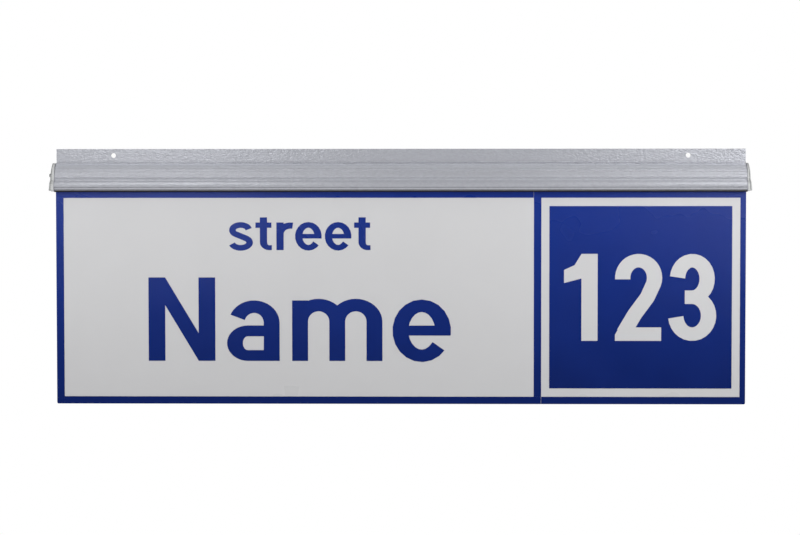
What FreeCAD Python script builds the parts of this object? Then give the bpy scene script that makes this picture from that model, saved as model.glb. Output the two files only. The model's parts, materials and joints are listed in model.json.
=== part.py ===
import FreeCAD, Part
import math
import os

# Street name sign: a film-faced plate hangs in the slot of an extruded header whose hood lights it.
# The origin lies midway between the two wall holes, in the plane of the wall.
# +X runs along the sign, +Z is up, and the face looks along -Y.
# A section point is given as (out, down): out from the wall, down from the header's top edge.
# Sizes are in millimetres.

# Header: a flat back plate and a hood, both extruded
PROFILE_LENGTH = 1000.0
PLATE = 2.5
WALL = 2.0
FLANGE_HEIGHT = 19.8
BEAD_RISE = 0.9
BEAD_FACE = 0.7
CREASE_HEIGHT = 1.3
NOSE_OUT = 20.0
NOSE_FALL = 3.5
NOSE_RADIUS = 19.0
NOSE_HEIGHT = 19.2
RIDGE_HEIGHT = 1.3
RIDGE_RISE = 0.7
COVE_INSET = 1.2
COVE_HEIGHT = 3.4
COVE_RADIUS = 2.5
LIP_STEP = 7.8
LIP_FALL = 4.5
LIP_RADIUS = 8.0
LIP_HEIGHT = 10.7
LIP_TUCK = 0.5
LIP_SEAT = 4.0
LIP_SEAT_HEIGHT = 2.6
QUIRK_WIDTH = 1.4
QUIRK_DEPTH = 0.7
QUIRK_RISE = 1.2
EDGE_RADIUS = 0.4

# Feet of the hood, which stand in grooves of the back plate
FOOT = 1.0
FOOT_SETBACK = 0.4
FOOT_PLAY = 0.1

# Two reeds that run along the nose
REED_RADIUS = 0.9
REED_RISE = 0.6
REED_PITCH = 2.9
REED_DROP = 8.9

# Wall holes in the flange
WALL_HOLE_RADIUS = 3.5
WALL_HOLE_SPACING = 834.0
WALL_HOLE_DROP = 9.5

# Plate, its films and the slot that takes them
PANEL_HEIGHT = 320.0
PANEL_THICKNESS = 4.0
PANEL_STANDOFF = 6.4
PANEL_GRIP = 11.8
PANEL_CORNER = 2.2
FILM = 0.2
FILM_SEAM = 0.35
FILM_BUTT = 0.05
FILM_TUCK = 1.2
SLOT_PLAY = 0.2
HEAD_PLAY = 0.3
SHELF = 2.0
LEG = 1.8
RIB_HEIGHT = 1.5
RIB_SETBACK = 0.5

# Layout of the blue film, seen from the front
LEFT_BORDER = 11.1
RIGHT_BORDER = 8.2
TOP_BORDER = 8.7
BOTTOM_BORDER = 10.7
NUMBER_FIELD = 306.2
DIVIDER = 10.8
WHITE_FRAME_SIDE = 11.6
WHITE_FRAME_TOP = 12.0
WHITE_FRAME_BOTTOM = 12.2

# Screws through the back plate and the sign plate into the hood's leg
PANEL_SCREW_COUNT = 2
PANEL_SCREW_PITCH = 880.0
PANEL_SCREW_RADIUS = 1.95
PANEL_SCREW_HEAD = 3.5
PANEL_SCREW_SINK = 1.5
SCREW_CLEARANCE = 0.15

# Light channel under the hood
LED_SHELF = 1.5
CHANNEL_ROOM = 3.1
COVER = 1.5
COVER_PLAY = 0.2
SNAP = 0.8
BOARD_WIDTH = 9.0
BOARD_THICKNESS = 1.6
BOARD_GAP = 2.9
BOARD_END = 12.0
LED_LENGTH = 5.0
LED_WIDTH = 3.5
LED_HEIGHT = 0.9
LEDS_PER_BOARD = 12

# Screw ports of the hood, which the cap screws bite into
PORT_BORE = 1.45
PORT_RADIUS = 2.7
PORT_SLIT = 1.0
UPPER_PORT_ANGLE = 60.0
UPPER_PORT_INSET = 3.8
LOWER_PORT_OUT = 6.2
PORT_SINK = 0.2

# End caps, their gaskets and screws
GASKET = 0.8
RIGHT_CAP_RIM = 2.1
LEFT_CAP_RIM = 3.5
CAP_DOME = 3.8
CAP_LEAN = 4.0
CAP_LAP = 0.5
CAP_LIFT = 1.3
CAP_STEP = 0.9
CAP_DOME_ROUND = 0.8
CAP_DOME_BANDS = 2
CAP_CORNER = 2.0
CAP_SHOULDER_RADIUS = 12.0
TONGUE_LENGTH = 6.0
TONGUE_WIDTH = 7.0
TONGUE = 1.5
TONGUE_PLAY = 0.4
CAP_SCREW_RADIUS = 1.4
CAP_SCREW_HEAD = 2.7
CAP_SCREW_SINK = 2.2
CAP_SCREW_DIP = 0.4
CAP_SCREW_GRIP = 12.0

# Rubber pieces
SEAL_SHOW = 2.1
SEAL_SETBACK = 0.3
SEAL_WIDTH = 3.1
SEAL_STEM_WIDTH = 1.2
SEAL_STEM_HEIGHT = 1.7
SEAL_STEM_BACK = 1.2
GROMMET_DOWN = 38.6
GROMMET_OUT = 12.2
GROMMET_HEAD_RADIUS = 2.9
GROMMET_HEAD_HEIGHT = 2.4
GROMMET_SEAT = 0.3
GROMMET_NECK = 2.2
GROMMET_BORE = 1.4
GROMMET_LIP = 1.2
GROMMET_CROWN = 0.9

# Driver and terminal block inside the chamber, and the hole for the boards' lead
DRIVER_LENGTH = 180.0
DRIVER_DEPTH = 9.5
DRIVER_HEIGHT = 10.4
DRIVER_LEFT = -300.0
DRIVER_DROP = 31.8
TERMINAL_LENGTH = 22.0
TERMINAL_DEPTH = 8.5
TERMINAL_HEIGHT = 9.0
TERMINAL_END = 28.0
LEAD_HOLE = 1.7
LEAD_OUT = 15.2

# Heights below the header's top edge
HOOD_TOP = FLANGE_HEIGHT + CREASE_HEIGHT
RIDGE_TOP = HOOD_TOP + NOSE_HEIGHT
COVE_TOP = RIDGE_TOP + RIDGE_HEIGHT
COVE_CORNER = COVE_TOP + COVE_HEIGHT
LIP_CORNER = COVE_CORNER + LIP_FALL
LIP_BOTTOM = LIP_CORNER + LIP_HEIGHT
COVER_SEAT = LIP_BOTTOM - LIP_SEAT_HEIGHT
HEADER_HEIGHT = LIP_BOTTOM + SEAL_SHOW
PANEL_TOP = HEADER_HEIGHT - PANEL_GRIP
PANEL_BOTTOM = PANEL_TOP + PANEL_HEIGHT
SLOT_ROOF = PANEL_TOP - HEAD_PLAY
SHELF_TOP = SLOT_ROOF - SHELF
CHANNEL_ROOF = COVER_SEAT - COVER - CHANNEL_ROOM
LED_SHELF_TOP = CHANNEL_ROOF - LED_SHELF
LEG_BOTTOM = COVER_SEAT + SNAP
FILM_TOP = LEG_BOTTOM - FILM_TUCK
PANEL_SCREW_DROP = (SLOT_ROOF + LEG_BOTTOM) / 2
DRIVER_MIDDLE_DOWN = DRIVER_DROP + DRIVER_HEIGHT / 2

# Distances out from the wall
COVE_OUT = NOSE_OUT - COVE_INSET
LIP_OUT = COVE_OUT + LIP_STEP
SEAL_FRONT = LIP_OUT - LIP_TUCK - SEAL_SETBACK
SEAL_STEM_OUT = SEAL_FRONT - SEAL_STEM_BACK
PANEL_FRONT = PANEL_STANDOFF + PANEL_THICKNESS
FILM_FRONT = PANEL_FRONT + 2 * FILM
LEG_IN = FILM_FRONT + SLOT_PLAY
LEG_OUT = LEG_IN + LEG
BOARD_MIDDLE = (LEG_OUT + LIP_OUT - WALL) / 2

# Places along the sign
HALF_LENGTH = PROFILE_LENGTH / 2
CAP_START = HALF_LENGTH + GASKET
BEYOND_CAP = CAP_START + LEFT_CAP_RIM + CAP_DOME

# More than the section's size, for blocks that run past it
BEYOND = 2 * (HEADER_HEIGHT + LIP_OUT)

# Closeness at which an edge counts as lying on a face
TOUCH = 1e-6


def point(x, out, down):
    """A place on the sign, from its section coordinates."""
    return FreeCAD.Vector(x, -out, WALL_HOLE_DROP - down)


def unit(a, b):
    """Direction from one section point to another."""
    length = math.hypot(b[0] - a[0], b[1] - a[1])
    return (b[0] - a[0]) / length, (b[1] - a[1]) / length


def inset(corners, amount, least=0.0):
    """The same outline moved inwards, with its rounds kept concentric where they can be."""
    moved = []
    for i, (out, down, radius) in enumerate(corners):
        before = unit(corners[i - 1], corners[i])
        after = unit(corners[i], corners[(i + 1) % len(corners)])
        normal_a = (-before[1], before[0])
        normal_b = (-after[1], after[0])
        spread = 1 + normal_a[0] * normal_b[0] + normal_a[1] * normal_b[1]
        step_out = amount * (normal_a[0] + normal_b[0]) / spread
        step_down = amount * (normal_a[1] + normal_b[1]) / spread
        bulges = before[0] * after[1] - before[1] * after[0] > 0
        rounded = max(radius - amount, least) if bulges else radius + amount
        moved.append((out + step_out, down + step_down, rounded))
    return moved


def outline(corners, x):
    """Closed wire across the sign at x, each corner rounded by its own radius."""
    edges = []
    ends = []
    for i, (out, down, radius) in enumerate(corners):
        here = point(x, out, down)
        back = (point(x, *corners[i - 1][:2]) - here).normalize()
        ahead = (point(x, *corners[(i + 1) % len(corners)][:2]) - here).normalize()
        half = back.getAngle(ahead) / 2
        if radius > 0 and half < math.radians(89.5):
            setback = radius / math.tan(half)
            reach = radius / math.sin(half) - radius
            inward = (back + ahead).normalize()
            start = here + back * setback
            end = here + ahead * setback
            ends.append((start, end))
            edges.append(Part.Arc(start, here + inward * reach, end).toShape())
        else:
            ends.append((here, here))
            edges.append(None)
    loop = []
    for i, arc in enumerate(edges):
        if arc is not None:
            loop.append(arc)
        start = ends[i][1]
        end = ends[(i + 1) % len(ends)][0]
        loop.append(Part.LineSegment(start, end).toShape())
    return Part.Wire(loop)


def prism(corners, x0, x1):
    """The outline drawn out along the sign."""
    return Part.Face(outline(corners, x0)).extrude(FreeCAD.Vector(x1 - x0, 0, 0))


def block(x0, x1, out0, out1, down0, down1):
    """A box from its limits along the sign, out from the wall and down from the top."""
    return Part.makeBox(x1 - x0, out1 - out0, down1 - down0, point(x0, out1, down1))


def rod(radius, x0, x1, out, down):
    """A round bar along the sign."""
    return Part.makeCylinder(radius, x1 - x0, point(x0, out, down), FreeCAD.Vector(1, 0, 0))


def pin(radius, x, out0, out1, down):
    """A round bar that points out from the wall."""
    return Part.makeCylinder(radius, out1 - out0, point(x, out0, down), FreeCAD.Vector(0, -1, 0))


def upright(radius, x, out, down0, down1):
    """A round bar that stands upright."""
    return Part.makeCylinder(radius, down1 - down0, point(x, out, down1), FreeCAD.Vector(0, 0, 1))


def fused(shapes):
    """One shape of them all, without the seams between flush faces."""
    first, *rest = shapes
    return (first.fuse(rest) if rest else first).removeSplitter()


def group(shapes):
    """Separate solids that are kept together."""
    return Part.makeCompound(shapes)


def steps(count, pitch):
    """Evenly spaced places about the middle."""
    return [(i - (count - 1) / 2) * pitch for i in range(count)]


# Shared section lines of the hood

SHOULDER_SLOPE = NOSE_FALL / (NOSE_OUT - PLATE)


def shoulder(out):
    """How far down the hood's sloping top lies at a distance out."""
    return HOOD_TOP + (out - PLATE) * SHOULDER_SLOPE


def nose_centre(front):
    """Middle of the round between the shoulder and an upright front."""
    half = (math.pi / 2 + math.atan(SHOULDER_SLOPE)) / 2
    return front - NOSE_RADIUS, shoulder(front) + NOSE_RADIUS / math.tan(half)


def hood_corners(front, corner):
    """The hood's plain outline from the wall to the lip, without its reeds, ridge and quirk."""
    bottom = HEADER_HEIGHT - CAP_LIFT
    return [
        (0.0, shoulder(0.0), corner),
        (front, shoulder(front), NOSE_RADIUS),
        (front, COVE_CORNER, COVE_RADIUS),
        (LIP_OUT, LIP_CORNER, LIP_RADIUS),
        (LIP_OUT, bottom, corner),
        (0.0, bottom, corner),
    ]


def back_plate_corners():
    """The back plate's outline, with the bead over the hood's upper edge."""
    bead_out = PLATE + BEAD_RISE
    bead_top = FLANGE_HEIGHT - BEAD_FACE
    return [
        (0.0, 0.0, EDGE_RADIUS),
        (PLATE, 0.0, EDGE_RADIUS),
        (PLATE, bead_top - BEAD_RISE, EDGE_RADIUS),
        (bead_out, bead_top, EDGE_RADIUS / 2),
        (bead_out, FLANGE_HEIGHT, EDGE_RADIUS / 2),
        (PLATE, FLANGE_HEIGHT, 0.0),
        (PLATE, HEADER_HEIGHT, 0.0),
        (0.0, HEADER_HEIGHT, EDGE_RADIUS),
    ]


def moulded_corners():
    """The hood's true outline, closed straight up the back plate and across below."""
    quirk = COVER_SEAT - QUIRK_WIDTH / 2 - QUIRK_RISE
    ridge_out = NOSE_OUT + RIDGE_RISE
    return [
        (PLATE, HOOD_TOP, 0.0),
        (NOSE_OUT, shoulder(NOSE_OUT), NOSE_RADIUS),
        (NOSE_OUT, RIDGE_TOP, EDGE_RADIUS / 2),
        (ridge_out, RIDGE_TOP + RIDGE_RISE, EDGE_RADIUS / 2),
        (ridge_out, COVE_TOP, EDGE_RADIUS / 2),
        (COVE_OUT, COVE_CORNER, COVE_RADIUS),
        (LIP_OUT, LIP_CORNER, LIP_RADIUS),
        (LIP_OUT, quirk - QUIRK_WIDTH / 2, 0.0),
        (LIP_OUT - QUIRK_DEPTH, quirk, 0.0),
        (LIP_OUT - LIP_TUCK, quirk + QUIRK_WIDTH / 2, 0.0),
        (LIP_OUT - LIP_TUCK, LIP_BOTTOM, EDGE_RADIUS),
        (PLATE, LIP_BOTTOM, 0.0),
    ]


def chamber(x0, x1):
    """The closed space inside the hood."""
    inside = prism(inset(hood_corners(COVE_OUT, 0.0), WALL), x0, x1)
    over_slot = block(x0, x1, PLATE, BEYOND, 0.0, SHELF_TOP)
    over_leds = block(x0, x1, LEG_OUT, BEYOND, 0.0, LED_SHELF_TOP)
    return inside.common(over_slot.fuse(over_leds).removeSplitter())


def light_channel(x0, x1):
    """The space for boards and cover, and the slit that the light leaves by."""
    inside = prism(inset(hood_corners(COVE_OUT, 0.0), WALL), x0, x1)
    room = inside.common(block(x0, x1, LEG_OUT, BEYOND, CHANNEL_ROOF, COVER_SEAT))
    slit = block(x0, x1, LEG_OUT + SNAP, LIP_OUT - LIP_SEAT, CHANNEL_ROOF, BEYOND)
    under_leg = block(x0, x1, LEG_IN, LIP_OUT - LIP_SEAT, LEG_BOTTOM, BEYOND)
    return room.fuse([slit, under_leg])


def port_places():
    """Centres of the two screw ports, the upper one held off the nose by a web."""
    centre_out, centre_down = nose_centre(COVE_OUT)
    reach = NOSE_RADIUS - WALL - UPPER_PORT_INSET
    angle = math.radians(UPPER_PORT_ANGLE)
    upper = (centre_out + reach * math.cos(angle), centre_down - reach * math.sin(angle))
    lower = (LOWER_PORT_OUT, SHELF_TOP + PORT_SINK - PORT_RADIUS)
    return [upper, lower]


def port_web(x0, x1):
    """Web between the upper port and the nose."""
    centre = nose_centre(COVE_OUT)
    upper = port_places()[0]
    along = unit(centre, upper)
    across = (-along[1] * PORT_SLIT, along[0] * PORT_SLIT)
    reach = UPPER_PORT_INSET + WALL / 2
    far = (upper[0] + along[0] * reach, upper[1] + along[1] * reach)
    near_low = (upper[0] - across[0], upper[1] - across[1], 0.0)
    near_high = (upper[0] + across[0], upper[1] + across[1], 0.0)
    far_low = (far[0] - across[0], far[1] - across[1], 0.0)
    far_high = (far[0] + across[0], far[1] + across[1], 0.0)
    return prism([near_low, far_low, far_high, near_high], x0, x1)


def reed_places():
    """Centres of the reeds, sunk in the nose so that each stands out by its rise."""
    centre_out, centre_down = nose_centre(NOSE_OUT)
    reach = NOSE_RADIUS + REED_RISE - REED_RADIUS
    places = []
    for i in range(2):
        down = HOOD_TOP + REED_DROP + i * REED_PITCH
        rise = centre_down - down
        places.append((centre_out + math.sqrt(reach ** 2 - rise ** 2), down))
    return places


def panel_screw_places():
    return steps(PANEL_SCREW_COUNT, PANEL_SCREW_PITCH)


def board_length():
    return HALF_LENGTH - BOARD_END - BOARD_GAP / 2


def foot_spans():
    """Top and bottom of the hood's two feet, inside its upper edge and the slot's roof."""
    return [
        (HOOD_TOP + FOOT_SETBACK, HOOD_TOP + WALL - FOOT_SETBACK),
        (SHELF_TOP + FOOT_SETBACK, SLOT_ROOF - FOOT_SETBACK),
    ]


def back_plate():
    """The plate on the wall: the flange, grooves for the hood's feet, ribs behind the sign plate."""
    x0, x1 = -HALF_LENGTH, HALF_LENGTH
    ribs = [block(x0, x1, PLATE, PANEL_STANDOFF, down, down + RIB_HEIGHT)
            for down in (SLOT_ROOF + RIB_SETBACK, HEADER_HEIGHT - RIB_HEIGHT)]
    body = fused([prism(back_plate_corners(), x0, x1)] + ribs)
    cuts = [block(x0, x1, PLATE - FOOT - FOOT_PLAY, PLATE, top, bottom) for top, bottom in foot_spans()]
    for x in steps(2, WALL_HOLE_SPACING):
        cuts.append(pin(WALL_HOLE_RADIUS, x, 0.0, PLATE, WALL_HOLE_DROP))
    for x in panel_screw_places():
        cuts.append(pin(PANEL_SCREW_HEAD + SCREW_CLEARANCE, x, 0.0, PANEL_SCREW_SINK, PANEL_SCREW_DROP))
        cuts.append(pin(PANEL_SCREW_RADIUS + SCREW_CLEARANCE, x, 0.0, PLATE, PANEL_SCREW_DROP))
    return body.cut(cuts)


def hood():
    """The moulded hood: its feet, chamber, screw ports, light channel and the slot's leg."""
    x0, x1 = -HALF_LENGTH, HALF_LENGTH
    reeds = [rod(REED_RADIUS, x0, x1, *place) for place in reed_places()]
    slot = block(x0, x1, 0.0, LEG_IN, SLOT_ROOF, BEYOND)
    stem_in = SEAL_STEM_OUT - SEAL_STEM_WIDTH
    stem = block(x0, x1, stem_in, SEAL_STEM_OUT, LIP_BOTTOM - SEAL_STEM_HEIGHT, BEYOND)
    body = fused([prism(moulded_corners(), x0, x1)] + reeds)
    body = body.cut([chamber(x0, x1), light_channel(x0, x1), slot, stem])
    feet = [block(x0, x1, PLATE - FOOT, PLATE, top, bottom) for top, bottom in foot_spans()]
    rings = [rod(PORT_RADIUS, x0, x1, *place) for place in port_places()]
    body = fused([body, port_web(x0, x1)] + feet + rings)
    bores = [rod(PORT_BORE, x0, x1, *place) for place in port_places()]
    upper, lower = port_places()
    slits = [
        block(x0, x1, upper[0] - PORT_SLIT / 2, upper[0] + PORT_SLIT / 2, upper[1], upper[1] + 2 * PORT_RADIUS),
        block(x0, x1, lower[0] - PORT_SLIT / 2, lower[0] + PORT_SLIT / 2, lower[1] - 2 * PORT_RADIUS, lower[1]),
    ]
    holes = [pin(PANEL_SCREW_RADIUS, x, LEG_IN, LEG_OUT, PANEL_SCREW_DROP) for x in panel_screw_places()]
    holes.append(upright(LEAD_HOLE, 0.0, LEAD_OUT, LED_SHELF_TOP, CHANNEL_ROOF))
    return body.cut(bores + slits + holes)


def mirrored(shape):
    """The same piece for the other end."""
    return shape.mirror(FreeCAD.Vector(0, 0, 0), FreeCAD.Vector(1, 0, 0))


def end_gasket():
    """Flat gasket for the right end, open over the chamber, the slot and the light channel."""
    x0, x1 = HALF_LENGTH, CAP_START
    skin = prism(hood_corners(NOSE_OUT, EDGE_RADIUS), x0, x1)
    window = chamber(x0, x1)
    below = block(x0, x1, PANEL_STANDOFF, LIP_OUT - LIP_SEAT, SLOT_ROOF, BEYOND)
    return skin.cut([window, below])


def tongues():
    """Two flat tongues that locate the cap on the back plate and on the slot's roof."""
    x0, x1 = HALF_LENGTH - TONGUE_LENGTH, CAP_START
    back_in = PLATE + TONGUE_PLAY
    shelf_in = SHELF_TOP - TONGUE_PLAY
    return [
        block(x0, x1, back_in, back_in + TONGUE, DRIVER_DROP, DRIVER_DROP + TONGUE_WIDTH),
        block(x0, x1, LEG_OUT - TONGUE_WIDTH / 2, LEG_OUT, shelf_in - TONGUE, shelf_in),
    ]


def cap_face(rim, down):
    """How far along the sign the leaning outer face of a cap lies at a height."""
    return CAP_START + rim + CAP_DOME - (LIP_BOTTOM - down) * math.tan(math.radians(CAP_LEAN))


def leaning_end(corners, x0, x1):
    """A cap's outer part: it is thickest at the lip, and its far edge is a quarter round in ruled bands."""
    sections = [outline(corners, x0)]
    for i in range(CAP_DOME_BANDS + 1):
        angle = math.pi / 2 * i / CAP_DOME_BANDS
        x = x1 - CAP_DOME_ROUND * (1 - math.sin(angle))
        section = outline(inset(corners, CAP_DOME_ROUND * (1 - math.cos(angle)), EDGE_RADIUS), x)
        section.rotate(point(x, 0.0, LIP_BOTTOM), FreeCAD.Vector(0, 1, 0), -CAP_LEAN)
        sections.append(section)
    return Part.makeLoft(sections, True, True)


def end_cap(rim):
    """Cap for the right end: a rim with a level top, a leaning outer part and two tongues in the hood."""
    rim_end = CAP_START + rim
    hood_section = hood_corners(NOSE_OUT, CAP_CORNER)
    level_top = [(0.0, HOOD_TOP, CAP_CORNER), (NOSE_OUT, HOOD_TOP, CAP_SHOULDER_RADIUS)]
    rim_corners = inset(level_top + hood_section[2:], -CAP_LAP)
    rim_corners = [(max(out, 0.0), down, radius) for out, down, radius in rim_corners]
    end_corners = inset(hood_section, CAP_STEP - CAP_LAP)
    rim_body = prism(rim_corners, CAP_START, rim_end)
    end_body = leaning_end(end_corners, rim_end, rim_end + CAP_DOME)
    cap = fused([rim_body, end_body] + tongues())
    holes = []
    for out, down in port_places():
        seat = cap_face(rim, down) - CAP_SCREW_SINK
        holes.append(rod(CAP_SCREW_RADIUS + SCREW_CLEARANCE, CAP_START, BEYOND_CAP, out, down))
        holes.append(rod(CAP_SCREW_HEAD + SCREW_CLEARANCE, seat, BEYOND_CAP, out, down))
    return cap.cut(holes)


def cap_screws(rim):
    """Two cheese-head screws for a cap at the right end, their heads sunk just under its face."""
    screws = []
    for out, down in port_places():
        face = cap_face(rim, down)
        seat = face - CAP_SCREW_SINK
        head = rod(CAP_SCREW_HEAD, seat, face - CAP_SCREW_DIP, out, down)
        shank = rod(CAP_SCREW_RADIUS, HALF_LENGTH - CAP_SCREW_GRIP, seat, out, down)
        screws.append(head.fuse(shank))
    return group(screws)


def grommet_seat():
    """How far along the sign the flat seat for the grommet's head lies."""
    return cap_face(LEFT_CAP_RIM, GROMMET_DOWN) - GROMMET_SEAT


def grommet_hole():
    """Hole for the grommet's neck in the left cap, and the flat seat for its head."""
    neck = rod(GROMMET_NECK, -BEYOND_CAP, -CAP_START, GROMMET_OUT, GROMMET_DOWN)
    head = rod(GROMMET_HEAD_RADIUS + SCREW_CLEARANCE, -BEYOND_CAP, -grommet_seat(), GROMMET_OUT, GROMMET_DOWN)
    return neck.fuse(head)


def cable_grommet():
    """Rubber grommet in the left cap: domed head, neck, inner lip and a clear bore."""
    head_end = grommet_seat() + GROMMET_HEAD_HEIGHT
    head = rod(GROMMET_HEAD_RADIUS, -head_end, -grommet_seat(), GROMMET_OUT, GROMMET_DOWN)
    crown = [e for e in head.Edges if all(abs(v.X + head_end) < TOUCH for v in e.Vertexes)]
    head = head.makeChamfer(GROMMET_CROWN, crown)
    neck = rod(GROMMET_NECK, -grommet_seat(), -CAP_START, GROMMET_OUT, GROMMET_DOWN)
    lip_start = -CAP_START + GROMMET_LIP
    lip = rod(GROMMET_HEAD_RADIUS, -CAP_START, lip_start, GROMMET_OUT, GROMMET_DOWN)
    bore = rod(GROMMET_BORE, -head_end, lip_start, GROMMET_OUT, GROMMET_DOWN)
    return fused([head, neck, lip]).cut(bore)


def lip_seal():
    """Rubber strip under the lip: a rounded bead and a stem in the lip's groove."""
    bead = prism([
        (SEAL_FRONT - SEAL_WIDTH, LIP_BOTTOM, 0.0),
        (SEAL_FRONT, LIP_BOTTOM, 0.0),
        (SEAL_FRONT, HEADER_HEIGHT, EDGE_RADIUS),
        (SEAL_FRONT - SEAL_WIDTH, HEADER_HEIGHT, EDGE_RADIUS),
    ], -HALF_LENGTH, HALF_LENGTH)
    stem_in = SEAL_STEM_OUT - SEAL_STEM_WIDTH
    stem_top = LIP_BOTTOM - SEAL_STEM_HEIGHT
    stem = block(-HALF_LENGTH, HALF_LENGTH, stem_in, SEAL_STEM_OUT, stem_top, LIP_BOTTOM)
    return fused([bead, stem])


def sheet_corners(x0, x1, down0, down1, rounds):
    """Corners of an upright sheet, seen from the front, with a radius for each."""
    places = [(x0, down0), (x1, down0), (x1, down1), (x0, down1)]
    return [(x, down, radius) for (x, down), radius in zip(places, rounds)]


def sheet(corners, out, thickness):
    """An upright sheet whose back lies at out, from (x, down, radius) corners."""
    edges = []
    ends = []
    for i, (x, down, radius) in enumerate(corners):
        here = point(x, out, down)
        before = corners[i - 1]
        after = corners[(i + 1) % len(corners)]
        back = (point(before[0], out, before[1]) - here).normalize()
        ahead = (point(after[0], out, after[1]) - here).normalize()
        reach = radius * (math.sqrt(2) - 1)
        start = here + back * radius
        end = here + ahead * radius
        ends.append((start, end))
        if radius > 0:
            middle = here + (back + ahead).normalize() * reach
            edges.append(Part.Arc(start, middle, end).toShape())
        else:
            edges.append(None)
    loop = []
    for i, arc in enumerate(edges):
        if arc is not None:
            loop.append(arc)
        loop.append(Part.LineSegment(ends[i][1], ends[(i + 1) % len(ends)][0]).toShape())
    return Part.Face(Part.Wire(loop)).extrude(FreeCAD.Vector(0, -thickness, 0))


def plate_corners(top):
    """The plate's outline below a height, with its rounded lower corners."""
    rounds = (0.0, 0.0, PANEL_CORNER, PANEL_CORNER)
    return sheet_corners(-HALF_LENGTH, HALF_LENGTH, top, PANEL_BOTTOM, rounds)


def sign_panel():
    """The plate, with clearance holes for its screws."""
    plate = sheet(plate_corners(PANEL_TOP), PANEL_STANDOFF, PANEL_THICKNESS)
    radius = PANEL_SCREW_RADIUS + SCREW_CLEARANCE
    return plate.cut([pin(radius, x, PANEL_STANDOFF, PANEL_FRONT, PANEL_SCREW_DROP)
                      for x in panel_screw_places()])


def base_film():
    """The white film over the plate's face, tucked just inside the slot."""
    return sheet(plate_corners(FILM_TOP), PANEL_FRONT, FILM)


BLUE_OUT = PANEL_FRONT + FILM
FIELD_TOP = HEADER_HEIGHT + TOP_BORDER
FIELD_BOTTOM = PANEL_BOTTOM - BOTTOM_BORDER
NUMBER_LEFT = HALF_LENGTH - NUMBER_FIELD
DIVIDER_RIGHT = NUMBER_LEFT + DIVIDER
NUMBER_RIGHT = HALF_LENGTH - RIGHT_BORDER


def blue(x0, x1, down0, down1, rounds=(0.0, 0.0, 0.0, 0.0)):
    """A rectangle of blue film on the white one."""
    return sheet(sheet_corners(x0, x1, down0, down1, rounds), BLUE_OUT, FILM)


def name_border_top():
    """Blue strip under the header, with an open seam at the divider."""
    return blue(-HALF_LENGTH, NUMBER_LEFT - FILM_SEAM, FILM_TOP, FIELD_TOP)


def name_border_left():
    """Blue strip down the left edge, butted under the top strip."""
    rounds = (0.0, 0.0, 0.0, PANEL_CORNER)
    return blue(-HALF_LENGTH, -HALF_LENGTH + LEFT_BORDER, FIELD_TOP + FILM_BUTT, PANEL_BOTTOM, rounds)


def name_border_bottom():
    """Blue strip along the lower edge, from the left strip to an open seam at the divider's right."""
    left = -HALF_LENGTH + LEFT_BORDER + FILM_BUTT
    return blue(left, DIVIDER_RIGHT - FILM_SEAM, FIELD_BOTTOM, PANEL_BOTTOM)


def number_frame_film():
    """Blue frame of the number square, whose left side is the divider."""
    rounds = (0.0, 0.0, PANEL_CORNER, 0.0)
    whole = blue(NUMBER_LEFT, HALF_LENGTH, FILM_TOP, PANEL_BOTTOM, rounds)
    window = blue(DIVIDER_RIGHT, NUMBER_RIGHT, FIELD_TOP, FIELD_BOTTOM)
    under_divider = blue(NUMBER_LEFT, DIVIDER_RIGHT, FIELD_BOTTOM - FILM_BUTT, PANEL_BOTTOM)
    return whole.cut([window, under_divider])


def number_field_film():
    """Blue square inside the white frame."""
    left = DIVIDER_RIGHT + WHITE_FRAME_SIDE
    right = NUMBER_RIGHT - WHITE_FRAME_SIDE
    return blue(left, right, FIELD_TOP + WHITE_FRAME_TOP, FIELD_BOTTOM - WHITE_FRAME_BOTTOM)


def panel_screws():
    """Screws from the wall's side into the hood's leg, their heads sunk in the back plate."""
    screws = []
    for x in panel_screw_places():
        head = pin(PANEL_SCREW_HEAD, x, SCREW_CLEARANCE, PANEL_SCREW_SINK, PANEL_SCREW_DROP)
        shank = pin(PANEL_SCREW_RADIUS, x, PANEL_SCREW_SINK, LEG_OUT, PANEL_SCREW_DROP)
        screws.append(head.fuse(shank))
    return group(screws)


def led_boards():
    """Two boards under the light channel's roof, one each side of the lead."""
    boards = []
    half = BOARD_WIDTH / 2
    for side in (-1, 1):
        near = BOARD_GAP / 2
        far = near + board_length()
        x0, x1 = sorted((side * near, side * far))
        boards.append(block(x0, x1, BOARD_MIDDLE - half, BOARD_MIDDLE + half,
                            CHANNEL_ROOF, CHANNEL_ROOF + BOARD_THICKNESS))
    return group(boards)


def leds():
    """Light sources, evenly spaced on both boards."""
    pitch = board_length() / LEDS_PER_BOARD
    top = CHANNEL_ROOF + BOARD_THICKNESS
    pieces = []
    for side in (-1, 1):
        for i in range(LEDS_PER_BOARD):
            x = side * (BOARD_GAP / 2 + pitch * (i + 0.5))
            pieces.append(block(x - LED_LENGTH / 2, x + LED_LENGTH / 2, BOARD_MIDDLE - LED_WIDTH / 2,
                                BOARD_MIDDLE + LED_WIDTH / 2, top, top + LED_HEIGHT))
    return group(pieces)


def light_cover():
    """Opal strip that rests on the lip's seat and on the leg's snap."""
    x0, x1 = -HALF_LENGTH + COVER_PLAY, HALF_LENGTH - COVER_PLAY
    return block(x0, x1, LEG_OUT + COVER_PLAY, LIP_OUT - WALL - COVER_PLAY, COVER_SEAT - COVER, COVER_SEAT)


def led_driver():
    """Potted driver, bonded to the back plate."""
    body = block(DRIVER_LEFT, DRIVER_LEFT + DRIVER_LENGTH, PLATE, PLATE + DRIVER_DEPTH,
                 DRIVER_DROP, DRIVER_DROP + DRIVER_HEIGHT)
    front = [e for e in body.Edges if all(abs(v.Y + PLATE + DRIVER_DEPTH) < TOUCH for v in e.Vertexes)]
    return body.makeFillet(2 * EDGE_RADIUS, front)


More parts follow.
